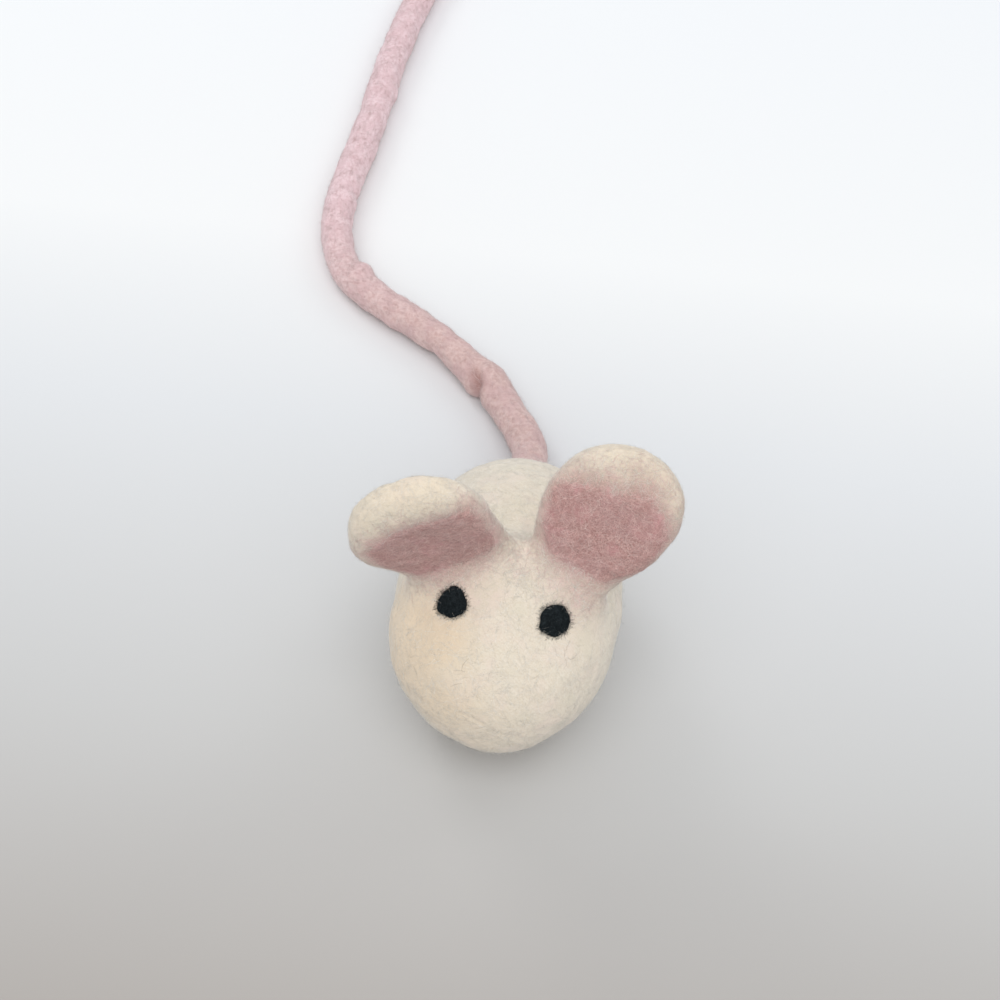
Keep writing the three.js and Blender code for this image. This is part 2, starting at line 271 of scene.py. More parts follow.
def skin_points(directions):
    """The egg's surface in directions from its middle, with its outward normals, in the frame."""
    x, y, z = directions.T
    length = np.where(y < 0, NOSE_LENGTH, RUMP_LENGTH)
    full = np.where(y < 0, NOSE_FULLNESS, RUMP_FULLNESS)
    girth = np.hypot(x / BODY_HALF_WIDTH, z / BODY_HALF_HEIGHT)
    along = np.abs(y) / length
    points = directions * ((girth**full + along**full) ** (-1 / full))[:, None]
    swell = np.maximum(girth, 1e-9) ** (full - 2)
    aside = swell * x / BODY_HALF_WIDTH**2
    ahead = along ** (full - 1) * np.sign(y) / length
    upwards = swell * z / BODY_HALF_HEIGHT**2
    normals = unit(np.stack([aside, ahead, upwards], 1))
    c, s = math.cos(NOSE_LIFT), math.sin(NOSE_LIFT)
    tip = np.array([[1, 0, 0], [0, c, s], [0, -s, c]])
    return points @ tip.T + BODY_MIDDLE, normals @ tip.T


def lumps(points, size, seed):
    """Hand-felted unevenness from -1 to 1, with lumps of about a size in millimetres."""
    shift = Vector((seed * 17.3, seed * 5.1, seed * 9.7))
    return np.array([noise.noise(Vector(p) / size + shift) for p in points])


def felted_lumps(points, kinds):
    """Lumps of several kinds together."""
    return sum(height * lumps(points, size, seed) for height, size, seed in kinds)


def step(low, high, values):
    """The same soft step as between, for an array of values."""
    share = np.clip((values - low) / (high - low), 0, 1)
    return share * share * (3 - 2 * share)


def fading(distance, reach):
    """1 at no distance, falling softly to nothing about two reaches away."""
    return np.exp(-(distance**2) / (2 * reach**2))


def patches(points, kinds):
    """Soft patches of several kinds together."""
    return sum(
        strength * fading(np.linalg.norm(points - np.array(place), axis=1), reach)
        for strength, reach, place in kinds
    )


def off_line(points, line):
    """Distance of points from a line through several places."""
    nearest = np.full(len(points), np.inf)
    for start, end in zip(line, line[1:]):
        along = end - start
        share = np.clip((points - start) @ along / (along @ along), 0, 1)
        nearest = np.minimum(nearest, np.linalg.norm(points - start - share[:, None] * along, axis=1))
    return nearest


def in_scene(name, data):
    """A new object of the scene."""
    made = bpy.data.objects.new(name, data)
    bpy.context.scene.collection.objects.link(made)
    return made


def piece(name, points, faces, finish, **masks):
    """A piece from points in millimetres. It remembers how its wool lay at rest, and its masks."""
    mesh = bpy.data.meshes.new(name)
    mesh.from_pydata((points / 1000).tolist(), [], faces)
    mesh.polygons.foreach_set("use_smooth", np.ones(len(mesh.polygons), bool))
    laid = mesh.attributes.new("laid", "FLOAT_VECTOR", "POINT")
    laid.data.foreach_set("vector", (points / 1000).astype(np.float32).ravel())
    for mask, values in masks.items():
        memory = mesh.attributes.new(mask, "FLOAT", "POINT")
        memory.data.foreach_set("value", values.astype(np.float32))
    mesh.materials.append(finish)
    return in_scene(name, mesh)


def remembered(dye, name, output="Fac"):
    """What a piece remembers at each point."""
    return dye.node("ShaderNodeAttribute", {"attribute_name": name}, {}, output)


def warmth(points):
    """How much warmer the wool is, mostly on the right of the face."""
    return patches(points, WARM_PATCHES.values()) + WARM_ALL_OVER


directions, skin_faces = ball_grid(BODY_CELLS)
skin, outward = skin_points(directions)
relief = felted_lumps(skin, BODY_LUMPS) + patches(skin, BODY_SWELLS.values())
for height, reach, line in BODY_RIDGES.values():
    relief += height * fading(off_line(skin, np.array(line)), reach)
from_tail = np.linalg.norm(skin - TAIL_EXIT, axis=1)
relief += TAIL_COLLAR_HEIGHT * fading(from_tail - TAIL_COLLAR_AT, TAIL_COLLAR_REACH)
relief -= TAIL_HOLE_DEPTH * fading(from_tail, TAIL_HOLE_REACH)
skin = skin + outward * relief[:, None]
skin[:, 2] = np.maximum(skin[:, 2], 0.0)

# The felt goes from cream to heathered rose by the mask of rose fibres laid on it.
cream_felt, dye = new_finish("cream_felt")
place = remembered(dye, "laid", "Vector")
lie = strands(dye, place, width=0.00028, reach=0.0035)
fine = mottle(dye, place, 0.00035)
flush = mottle(dye, place, 0.0045)
patch = mottle(dye, place, 0.007)
cream = mixed(dye, between(dye, lie * 0.7 + fine * 0.3, 0.42, 0.7), DEEP_CREAM, CREAM)
cream = mixed(dye, between(dye, flush, 0.5, 0.7) * 0.5, cream, PINK_CREAM)
cream = mixed(dye, between(dye, flush, 0.48, 0.3) * 0.4, cream, GREY_CREAM)
cream = mixed(dye, remembered(dye, "warm") * (patch + 0.35), cream, WARM_CREAM)
rose = mixed(dye, between(dye, lie * 0.6 + fine * 0.4, 0.45, 0.68), DEEP_ROSE, ROSE)
rose = mixed(dye, between(dye, patch, 0.35, 0.7) * 0.5, rose, DUSTY_ROSE)
rose = mixed(dye, between(dye, flush, 0.52, 0.66) * 0.5, rose, PINK_ROSE)
rose = mixed(dye, between(dye, flush, 0.46, 0.34) * 0.45, rose, BROWN_ROSE)
ragged = remembered(dye, "rose") + (lie - 0.6) * 0.8 + (fine - 0.5) * 0.3
felt_colour = mixed(dye, between(dye, ragged, 0.0, 1.05), cream, rose)
matted(dye, felt_colour, lie * 0.7 + fine * 0.5, relief=0.00022, sheen=0.3)

body = piece(
    "body_felt", skin, skin_faces, cream_felt, rose=patches(skin, ROSE_STRAYS), warm=warmth(skin)
)
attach(body, "body")
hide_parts("body_shell")


# Body fibres: loose wool on the skin. Most fibres lie flat where they were rubbed in, a thin fuzz of
# free ends stands off the skin, and a few dark stray fibres are caught in the face.
FIBRE_SHADES = 32
FIBRE_STEPS = 3
FIBRE_CURL = 0.35
FIBRE_THINNEST, FIBRE_THICKEST, FIBRE_TAPER = 0.6, 1.3, 0.6
OFF_FLOOR = 0.02
STRAY_REACH = 1.3
STRAYS = [
    (11.5, -22.5, 32.0), (10.5, -24.0, 30.5), (-4.0, -31.0, 23.0),
    (-1.0, -31.5, 22.0), (-6.0, -26.5, 30.5), (-15.0, -22.0, 28.0),
]


def fibre_finish(name, shades, sheen=0.2):
    """Loose wool: each fibre takes its shade from its place across its own map."""
    made, dye = new_finish(name)
    map_place = dye.node("ShaderNodeUVMap", {"uv_map": "OFBake"}, {}, "UV")
    across_map = dye.node("ShaderNodeSeparateXYZ", {}, {"Vector": map_place}, "X")
    stops = [(i / (len(shades) - 1), dyed(*shade)) for i, shade in enumerate(shades)]
    colour = dye.node("ShaderNodeValToRGB", {"stops": stops}, {"Fac": across_map}, "Color")
    coat(dye, {"Base Color": colour, "Roughness": 0.8, "Specular IOR Level": 0.1, "Sheen Weight": sheen})
    return made


def triangles_of(ground):
    """A piece's points in millimetres, and the corners of its triangles."""
    mesh = ground.data
    mesh.calc_loop_triangles()
    points = np.empty(len(mesh.vertices) * 3)
    mesh.vertices.foreach_get("co", points)
    corners = np.empty(len(mesh.loop_triangles) * 3, np.int32)
    mesh.loop_triangles.foreach_get("vertices", corners)
    return points.reshape(-1, 3) * 1000, corners.reshape(-1, 3)


def crept(surface, spot, heading, bend, stride):
    """Lines that creep over a surface from their roots, and the surface's normals along them."""
    line = np.empty((len(spot), FIBRE_STEPS + 1, 3))
    normals = np.empty_like(line)
    for k in range(FIBRE_STEPS + 1):
        for i in range(len(spot)):
            place, normal, _, _ = surface.find_nearest(spot[i])
            line[i, k] = place
            normals[i, k] = normal
        up = normals[:, k]
        heading = unit(heading - (heading * up).sum(1, keepdims=True) * up)
        spot = line[:, k] + heading * stride[:, None]
        heading = heading + bend
    return line, normals


def fibre_rings(line, normals, thick, flat):
    """Three points round each step of each line, squashed towards the skin by flat."""
    along = unit(np.gradient(line, axis=1))
    side = unit(np.cross(along, normals))
    over = np.cross(side, along)
    turns = np.radians([90, 210, 330])
    ring = side[:, :, None] * np.cos(turns)[:, None] + flat * over[:, :, None] * np.sin(turns)[:, None]
    rings = line[:, :, None] + ring * thick[:, :, None, None]
    rings[..., 2] = np.maximum(rings[..., 2], OFF_FLOOR)
    return rings


def fibre_faces(count):
    """The walls and the two ends of each fibre, over its rings of three points."""
    first = np.arange(count * (FIBRE_STEPS + 1) * 3).reshape(count, FIBRE_STEPS + 1, 3)
    after = np.roll(first, -1, axis=2)
    walls = np.stack([first[:, :-1], first[:, 1:], after[:, 1:], after[:, :-1]], -1).reshape(-1, 4)
    ends = np.stack([first[:, 0], first[:, -1, ::-1]], 1).reshape(-1, 3)
    return walls.tolist() + ends.tolist()


def shade_fibres(made, shade, share):
    """Each fibre's own map, with its shade across and its length up."""
    count = len(shade)
    left, right = shade + 0.2 / FIBRE_SHADES, shade + 0.8 / FIBRE_SHADES
    wall_map = np.empty((count, FIBRE_STEPS, 3, 4, 2))
    wall_map[..., (0, 1), 0] = left[:, None, None, None]
    wall_map[..., (2, 3), 0] = right[:, None, None, None]
    wall_map[..., (0, 3), 1] = share[:-1, None, None]
    wall_map[..., (1, 2), 1] = share[1:, None, None]
    end_map = np.empty((count, 2, 3, 2))
    end_map[..., 0] = np.stack([left, right, left], 1)[:, None]
    end_map[..., 1] = np.array([[0.0, 0.0, 0.1], [0.9, 0.9, 1.0]])
    own_map = made.data.uv_layers.new(name="OFBake")
    flat_map = np.concatenate([wall_map.ravel(), end_map.ravel()]).astype(np.float32)
    own_map.data.foreach_set("uv", flat_map)


def fibres(
    name, ground, finish, count, seed, length, width, stand,
    height=0.0, arch=0.05, flat=0.5, where=None, lie=None,
):
    """Fibres rooted on a piece, in millimetres. Each creeps over it in its own direction, arched a
    little and rising by its stand to its free end. where weighs the piece's points, and lie pulls
    the fibres' directions there."""
    draw = np.random.default_rng(seed)
    points, corners = triangles_of(ground)
    a, b, c = points[corners[:, 0]], points[corners[:, 1]], points[corners[:, 2]]
    weight = np.linalg.norm(np.cross(b - a, c - a), axis=1)
    if where is not None:
        weight = weight * where[corners].mean(1)
    picked = draw.choice(len(corners), count, p=weight / weight.sum())
    u, v = draw.random((2, count, 1))
    u, v = np.where(u + v > 1, 1 - u, u), np.where(u + v > 1, 1 - v, v)
    spot = a[picked] + u * (b - a)[picked] + v * (c - a)[picked]
    heading = draw.normal(size=(count, 3))
    if lie is not None:
        heading += lie[corners[picked]].mean(1)
    stride = draw.uniform(*length, count) / FIBRE_STEPS
    rise = draw.uniform(*stand, count)
    bend = draw.normal(0, FIBRE_CURL, (count, 3))
    surface = BVHTree.FromPolygons(points.tolist(), corners.tolist())
    line, normals = crept(surface, spot, heading, bend, stride)
    share = np.linspace(0, 1, FIBRE_STEPS + 1)
    lift = height + arch * np.sin(math.pi * share) + rise[:, None] * share**2
    line += normals * lift[..., None]
    thick = width / 2 * draw.uniform(FIBRE_THINNEST, FIBRE_THICKEST, (count, 1))
    rings = fibre_rings(line, normals, thick * (1 - FIBRE_TAPER * share**2), flat)
    made = piece(name, rings.reshape(-1, 3), fibre_faces(count), finish)
    ring_normals = np.repeat(normals.reshape(-1, 3), 3, axis=0)
    made.data.normals_split_custom_set_from_vertices(ring_normals.tolist())
    shade_fibres(made, draw.integers(0, FIBRE_SHADES, count) / FIBRE_SHADES, share)
    return made


cream_fibres = fibre_finish(
    "cream_fibres", [(230, 219, 203), (238, 229, 216), (242, 235, 224), (248, 243, 235)]
)
white_fibres = fibre_finish("white_fibres", [(243, 236, 224), (250, 245, 236)])
stray_fibres = fibre_finish("stray_fibres", [(104, 90, 76), (150, 134, 116), (190, 174, 154)])
clear_of_floor = step(0.4, 3.0, skin[:, 2])
body_lying = fibres(
    "body_fibres", body, cream_fibres, count=4500, seed=11, length=(2.0, 5.5), width=0.05,
    stand=(0.0, 0.12), arch=0.03, where=clear_of_floor,
)
body_fuzz = fibres(
    "body_fuzz", body, white_fibres, count=4500, seed=12, length=(1.0, 3.0), width=0.028,
    stand=(0.2, 1.0), flat=1.0, where=clear_of_floor,
)
body_strays = fibres(
    "body_strays", body, stray_fibres, count=20, seed=13, length=(1.0, 3.0), width=0.036,
    stand=(0.0, 0.2), where=patches(skin, [(1.0, STRAY_REACH, place) for place in STRAYS]),
)
for loose in (body_lying, body_fuzz, body_strays):
    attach(loose, "body")


# Tail: a rope of pale pink wool, rolled wet between the palms. It comes straight out of the rump,
# drops to the floor, has one set fold and lies in a loose bend. Its inner end is felted into the body.
ROPE_DIAMETER = 0.0076
ROPE_ROUTE = [
    (0.0, 31.629, 12.81), (0.0, 36.424, 11.394), (0.5, 43.629, 8.6),
    (-0.1, 51.629, 6.3), (-2.5, 58.129, 5.0), (-6.2, 64.829, 4.2),
    (-9.6, 70.229, 3.9), (-14.0, 75.429, 3.9), (-20.0, 81.129, 3.9),
    (-28.4, 87.629, 3.9), (-37.0, 93.629, 3.9), (-43.4, 99.429, 3.9),
    (-48.2, 106.629, 3.9), (-50.7, 115.129, 3.9), (-51.4, 124.629, 3.9),
    (-50.8, 135.629, 3.9), (-49.7, 147.629, 3.9), (-48.6, 159.629, 3.9),
    (-47.8, 172.629, 3.9), (-46.8, 185.629, 3.9), (-45.4, 197.629, 3.9),
    (-43.8, 209.629, 3.9), (-41.3, 221.629, 3.9), (-37.0, 232.629, 3.9),
    (-30.5, 242.629, 3.9),
]
ROPE_STEP, ROPE_BURIED = 0.5, 2.5
ROPE_CUTS, ROPE_SIDES = 40, 40
ROPE_TIP, ROPE_SLACK = 0.4, 0.15
ROPE_LUMPS = [(0.34, 9.0, 5), (0.26, 4.0, 6), (0.14, 1.7, 7), (0.05, 0.8, 8)]
ROPE_TOP = (0.06, -0.72, 0.69)
# Dents and bulges: how far along, height, reach, and 1 on the side of the mouse's left or -1 opposite.
ROPE_DENTS = [
    (43.2, -1.1, 1.0, -1),
    (46.8, 0.5, 1.6, -1),
    (44.0, 0.9, 2.2, 1),
    (60.0, -0.9, 3.0, -1),
    (69.0, -0.5, 3.5, -1),
    (88.0, 0.85, 1.7, 1),
    (91.5, -0.5, 1.1, 1),
    (118.0, -0.6, 1.1, 1),
    (159.0, 0.6, 1.6, 1),
]
FOLD_CREASE = np.array([[-12.0, 68.9, 3.6], [-12.6, 69.7, 5.8], [-12.9, 71.9, 6.9], [-12.5, 74.6, 7.5]])
FOLD_DEPTH, FOLD_REACH, FOLD_SHADE_REACH = 0.55, 0.7, 1.4


def through(places, spacing):
    """A smooth line through places, as points an even spacing apart, and how far along each lies."""
    places = np.array([2 * places[0] - places[1], *places, 2 * places[-1] - places[-2]])
    gaps = np.sqrt(np.linalg.norm(np.diff(places, axis=0), axis=1))
    t = np.linspace(0, 1, ROPE_CUTS, endpoint=False)[:, None]
    line = []
    for i in range(1, len(places) - 2):
        before, gap, after = gaps[i - 1 : i + 2]
        p0, p1, p2, p3 = places[i - 1 : i + 3]
        leave = ((p1 - p0) / before - (p2 - p0) / (before + gap) + (p2 - p1) / gap) * gap
        arrive = ((p2 - p1) / gap - (p3 - p1) / (gap + after) + (p3 - p2) / after) * gap
        line.append(
            (2 * t**3 - 3 * t**2 + 1) * p1
            + (t**3 - 2 * t**2 + t) * leave
            + (3 * t**2 - 2 * t**3) * p2
            + (t**3 - t**2) * arrive
        )
    line = np.concatenate([*line, places[-2:-1]])
    run = np.concatenate([[0], np.cumsum(np.linalg.norm(np.diff(line, axis=0), axis=1))])
    even = np.linspace(0, run[-1], int(run[-1] / spacing) + 1)
    return np.stack([np.interp(even, run, line[:, k]) for k in range(3)], 1), even


def tube_faces(rings, sides):
    """Faces of a closed tube: a start point, rings of points, and an end point."""
    faces = []
    last = 1 + rings * sides
    for i in range(sides):
        after = (i + 1) % sides
        faces.append([0, 1 + after, 1 + i])
        for low in range(1, last - sides, sides):
            faces.append([low + i, low + after, low + sides + after, low + sides + i])
        faces.append([last - sides + i, last - sides + after, last])
    return faces


def rope_sides(line):
    """Two directions square to a line at each of its points, which turn with it and never spin."""
    along = unit(np.gradient(line, axis=0))
    across = np.empty_like(line)
    side = np.array([1.0, 0.0, 0.0])
    for i, heading in enumerate(along):
        side = unit(side - (side @ heading) * heading)
        across[i] = side
    return across, np.cross(along, across)


def roll_felt(dye, place):
    """Rolled pink felt, softly mottled and paler towards its far end, from where its wool lies, with
    painted shade in its fold's crease.
    """
    lie = strands(dye, place, width=0.0003, reach=0.0022)
    fine = mottle(dye, place, 0.0008, detail=3.0)
    patch = mottle(dye, place, 0.004)
    speck = between(dye, mottle(dye, place, 0.0011, detail=1.0), 0.62, 0.74)
    depth = dye.node("ShaderNodeSeparateXYZ", {}, {"Vector": place}, "Y")
    far = between(dye, depth, 0.075, 0.13)
    pale = mixed(dye, far, dyed(221, 192, 187), dyed(240, 212, 216))
    deep = mixed(dye, far, dyed(203, 168, 162), dyed(225, 191, 195))
    blotch = mixed(dye, far, dyed(204, 168, 168), dyed(222, 186, 190))
    pink = mixed(dye, between(dye, lie * 0.4 + fine * 0.6, 0.38, 0.64), deep, pale)
    pink = mixed(dye, between(dye, patch, 0.4, 0.65) * 0.5, pink, blotch)
    pink = mixed(dye, speck * 0.35, pink, dyed(178, 137, 133))
    # painted shade: the crease of the fold is darkened towards a deep brown
    pink = mixed(dye, remembered(dye, "fold") * 0.75, pink, dyed(150, 106, 98))
    matted(dye, pink, lie * 0.5 + fine * 0.6, relief=0.00022, sheen=0.25)


route, run = through(np.array(ROPE_ROUTE), ROPE_STEP)
start_heading = unit(route[1] - route[0])
buried_run = np.arange(-ROPE_BURIED, 0, ROPE_STEP)
core_line = np.concatenate([route[0] + start_heading * buried_run[:, None], route])
core_run = np.concatenate([buried_run, run])
across, over = rope_sides(core_line)
rope_radius = ROPE_DIAMETER / 2 * 1000
tip_reach = ROPE_TIP * rope_radius
to_tip = core_run[-1] + tip_reach - core_run
rounding = np.sqrt(1 - np.clip(1 - to_tip / rope_radius, 0, 1) ** 2)
angles = np.linspace(0, 2 * math.pi, ROPE_SIDES, endpoint=False)
spokes = across[:, None] * np.cos(angles)[:, None] + over[:, None] * np.sin(angles)[:, None]
rope_middle = np.repeat(core_line[:, None], ROPE_SIDES, axis=1)
true_rope = (rope_middle + spokes * rope_radius).reshape(-1, 3)
uneven = felted_lumps(true_rope, ROPE_LUMPS).reshape(spokes.shape[:2])
rope_heading = unit(np.gradient(core_line, axis=0))
rope_left = unit(np.cross(rope_heading, ROPE_TOP))
leftwards = (spokes * rope_left[:, None]).sum(2)
for dent_at, height, reach, which in ROPE_DENTS:
    uneven += height * fading(core_run[:, None] - dent_at, reach) * np.clip(which * leftwards, 0, 1)
from_fold = off_line(true_rope, FOLD_CREASE).reshape(uneven.shape)
uneven -= FOLD_DEPTH * fading(from_fold, FOLD_REACH)
rope = rope_middle + spokes * ((rope_radius - ROPE_SLACK + uneven) * rounding[:, None])[..., None]
rope_tip = core_line[-1:] + tip_reach * (core_line[-1] - core_line[-2]) / ROPE_STEP
rope_points = np.concatenate([core_line[:1], rope.reshape(-1, 3), rope_tip])
rope_points[:, 2] = np.maximum(rope_points[:, 2], OFF_FLOOR)
rope_faces = tube_faces(len(core_line), ROPE_SIDES)
# painted shade in the crease of the fold, on the rope's side away from the mouse's left
painted_fold_shade = fading(from_fold, FOLD_SHADE_REACH) * step(0.5, -0.2, leftwards)

pink_felt, dye = new_finish("pink_rope_felt")
roll_felt(dye, remembered(dye, "laid", "Vector"))
buried_felt, dye = new_finish("buried_rope_felt")
roll_felt(dye, dye.node("ShaderNodeTexCoord", {}, {}, "Object"))
frame["nodes"]["tail_root"].material_slots[0].material = buried_felt
# the fold mask carries the painted shade in the fold's crease
tail = piece("tail_rope", rope_points, rope_faces, pink_felt, fold=np.pad(painted_fold_shade.ravel(), 1))
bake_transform(tail)
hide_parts("tail_base", "tail")


# Tail fibres: short loose wool on the rope. Most of it was rolled in along the rope, and a thin fuzz of
# free ends stands off it all round.
ROPE_COMBING = 2.0
pink_fibres = fibre_finish(
    "pink_fibres", [(200, 163, 159), (212, 180, 177), (222, 194, 192), (234, 211, 210)]
)
ring_headings = np.repeat(rope_heading, ROPE_SIDES, axis=0)
along_rope = ROPE_COMBING * np.concatenate([rope_heading[:1], ring_headings, rope_heading[-1:]])
tail_fibres = fibres(
    "tail_fibres", tail, pink_fibres, count=6500, seed=21, length=(1.0, 3.2), width=0.05,
    stand=(0.0, 0.4), lie=along_rope,
)
tail_fuzz = fibres(
    "tail_fuzz", tail, pink_fibres, count=4500, seed=22, length=(0.8, 2.0), width=0.035,
    stand=(0.2, 0.8), flat=1.0,
)
for loose in (tail_fibres, tail_fuzz):
    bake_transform(loose)


# Ears: thick paddles of cream wool, felted flat and round-edged, then felted on to the head by a loose
# root that spreads over the skin. One leans back at that root, the other is tipped forwards.
EAR_LENGTH, EAR_WIDTH, EAR_THICKNESS = 28.0, 26.0, 8.2
EAR_WIDEST_AT, EAR_SQUARENESS = 15.5, 2.6
EAR_ROOT_WIDTH, EAR_ROOT_THICKNESS = 15.0, 6.6
EAR_CUP = 1.0
EAR_DISH, EAR_DISH_AT, EAR_DISH_REACH = 0.5, 14.0, 8.0
EAR_WEB_TOP, EAR_TALLER_ABOVE = 13.0, 20.0
EAR_LUMPS = [(0.4, 11.0, 31), (0.22, 4.5, 32), (0.12, 2.0, 33), (0.05, 0.9, 34)]
EAR_SLACK = 0.15
EAR_BURIED = 7.0
EAR_SKIRT, SKIRT_FAN, SKIRT_SUNK = 9.5, 7.0, 0.14
SKIRT_SHORTER = 0.3
EAR_JOIN, EARS_JOIN = 8.0, 3.5
FELTING_PASSES = 3
EAR_BEND_FROM, EAR_BEND_TO = 1.5, 10.0
EAR_RINGS, EAR_SIDES = 110, 112
ROSE_RAGGED = [(1.3, 4.5, 35), (0.7, 1.8, 36)]
ROSE_SOFT_ROOT, ROSE_ON_HEAD = 3.0, 0.2
EAR_WARM, EAR_TIP_WARMER = 0.2, 0.42
# Each ear's way up, the share of its left half, how much taller it is and the web at its root, and its
# rose wool: how softly it ends, how much softer at its top, how raggedly, and its outline across and up.
EARS = {
    "left": {
        "up": (0.449121, 0.295883, 0.843056),
        "left_half": 0.9,
        "taller": 0.02,
        "web": 0.0,
        "feather": 4.0,
        "soft_top": 1.8,
        "ragged": 1.0,
        "rose": [
            (-10.8, 6.7), (-13.0, 10.0), (-14.0, 14.3), (-13.2, 17.6), (-11.0, 19.6), (-8.5, 20.8),
            (-6.2, 21.5), (-4.5, 22.2), (-3.0, 23.2), (-1.2, 24.4), (1.0, 25.2), (3.4, 25.0),
            (5.8, 24.0), (7.6, 22.8), (9.2, 21.2), (11.2, 19.4), (12.4, 16.0), (12.4, 12.5),
            (11.6, 9.0), (9.8, 5.5), (8.2, 2.0), (5.5, 0.2), (0.4, -0.9), (-4.6, -0.7),
            (-7.5, 0.6), (-10.0, 4.0),
        ],
    },
    "right": {
        "up": (-0.377717, -0.248558, 0.891935),
        "left_half": 0.94,
        "taller": 0.0,
        "web": 3.6,
        "feather": 3.2,
        "soft_top": 0.0,
        "ragged": 0.5,
        "rose": [
            (-11.6, 16.8), (-8.3, 20.0), (-3.5, 21.8), (-0.3, 22.0), (3.3, 21.9), (6.3, 21.6),
            (9.2, 21.4), (11.4, 19.8), (11.9, 17.0), (11.9, 11.8), (11.5, 6.0), (10.2, 1.0),
            (7.1, -2.5), (2.2, -3.2), (-1.5, -2.2), (-7.0, 0.2), (-10.0, 6.5), (-11.2, 11.8),
        ],
    },
}


def ear_frame(name):
    """An ear's foot, and its directions across, backwards and up, from its hinge in the frame."""
    hinge = next(j for j in frame["joints"] if j["name"] == f"{name}_ear_flex")
    across = np.array(hinge["axis"])
    up = np.array(EARS[name]["up"])
    return np.array(hinge["pos_m"]) * 1000, np.stack([across, np.cross(up, across), up])


def ear_halves(z):
    """Half width, half thickness and squareness of an ear at heights above its hinge line."""
    swell = np.sin(math.pi / 2 * np.clip(z / EAR_WIDEST_AT, 0, 1))
    out = np.clip((z - EAR_WIDEST_AT) / (EAR_LENGTH - EAR_WIDEST_AT), 0, 1)
    edge = (1 - out**EAR_SQUARENESS) ** (1 / EAR_SQUARENESS)
    width = (EAR_ROOT_WIDTH + (EAR_WIDTH - EAR_ROOT_WIDTH) * swell) / 2 * np.sqrt(1 - out**2)
    thickness = (EAR_ROOT_THICKNESS + (EAR_THICKNESS - EAR_ROOT_THICKNESS) * swell) / 2 * edge
    return width, thickness, 2 + (EAR_SQUARENESS - 2) * swell


def plain_ear(name):
    """An ear's smooth paddle, from a point inside the head over its rings to its tip."""
    ear = EARS[name]
    foot, axes = ear_frame(name)
    half = np.where(aside > 0, ear["left_half"], 1.0)
    x = width * np.sign(aside) * np.abs(aside) ** (2 / square) * half
    z = np.repeat(heights[:, None], EAR_SIDES, axis=1)
    x = x + ear["web"] * step(EAR_WEB_TOP, 0.0, z) * np.clip(aside, 0, 1)
    z = z * (1 + ear["taller"] * step(0.0, EAR_TALLER_ABOVE, z))
    from_dish = (x / EAR_DISH_REACH) ** 2 + ((z - EAR_DISH_AT) / EAR_DISH_REACH) ** 2
    dished = EAR_DISH * np.exp(-from_dish) * np.clip(front, 0, 1)
    cupped = EAR_CUP * step(0, EAR_WIDEST_AT, z) * (2 * x / EAR_WIDTH) ** 2
    y = dished - thickness * front - cupped
    rings = np.stack([x, y, z], -1).reshape(-1, 3)
    tip = EAR_LENGTH * (1 + ear["taller"])
    return np.concatenate([[[0, 0, -EAR_BURIED]], rings, [[0, 0, tip]]]) @ axes + foot


def heights_over(surface, spots):
    """Heights of spots over a surface, and the directions straight away from it."""
    over, away = np.empty(len(spots)), np.empty((len(spots), 3))
    for i, spot in enumerate(spots):
        place, normal, _, _ = surface.find_nearest(spot)
        offset = Vector(spot) - place
        over[i] = math.copysign(offset.length, offset.dot(normal))
        away[i] = normal if offset.length < 0.05 else offset * math.copysign(1, over[i]) / offset.length
    return over, away


def felted_join(spots, depth):
    """Moves spots on to the skin over both ears and the body, with a soft hollow where they join."""
    for _ in range(FELTING_PASSES):
        height, away = heights_over(ear_surfaces["left"], spots)
        for surface, reach in ((ear_surfaces["right"], EARS_JOIN), (body_surface, EAR_JOIN)):
            over, from_it = heights_over(surface, spots)
            gap = over - height
            share = np.clip(0.5 + 0.5 * gap / reach, 0, 1)[:, None]
            height = np.minimum(height, over) - np.clip(reach - np.abs(gap), 0, None) ** 2 / (4 * reach)
            away = share * away + (1 - share) * from_it
        climb = np.maximum((away**2).sum(1), 0.25)
        spots = spots - away * np.clip((height - depth) / climb, -2, 2)[:, None]
    return spots


def rooted_ear(name):
    """An ear's points with its root spread over the head as a thin skirt and felted down."""
    foot, axes = ear_frame(name)
    plain = plain_ears[name]
    grid = plain[1:-1].reshape(EAR_RINGS, EAR_SIDES, 3).copy()
    clear, away = heights_over(body_surface, grid.reshape(-1, 3))
    clear, away = clear.reshape(EAR_RINGS, EAR_SIDES), away.reshape(grid.shape)
    to_other_ear = -np.sign(foot[0]) * aside
    reach = EAR_SKIRT * (1 - SKIRT_SHORTER * step(0.97, 1.0, to_other_ear))
    skirt = np.zeros(clear.shape)
    for j in range(EAR_SIDES):
        edge = np.nonzero(clear[:, j] < 0)[0].max() + 1
        out = np.array([aside[j] / SKIRT_FAN, aback[j], 0]) @ axes
        out = unit(out - (out @ away[edge, j]) * away[edge, j])
        skirt[:edge, j] = np.linspace(1, 0, edge, endpoint=False)
        grid[:edge, j] = grid[edge, j] + out * (reach[j] * skirt[:edge, j, None])
    sunk = -SKIRT_SUNK * step(0.35, 1.0, skirt)
    low = np.nonzero(clear.min(1) < EAR_JOIN)[0].max() + 1
    for _ in range(FELTING_PASSES):
        spots = felted_join(grid[:low].reshape(-1, 3), sunk[:low].ravel())
        grid[:low] = spots.reshape(low, EAR_SIDES, 3)
        beside = (np.roll(grid, 1, axis=1) + np.roll(grid, -1, axis=1)) / 2
        above_below = grid[: low - 1] + grid[2 : low + 1]
        grid[1:low] = 0.4 * grid[1:low] + 0.3 * beside[1:low] + 0.15 * above_below
    return np.concatenate([plain[:1], grid.reshape(-1, 3), plain[-1:]])


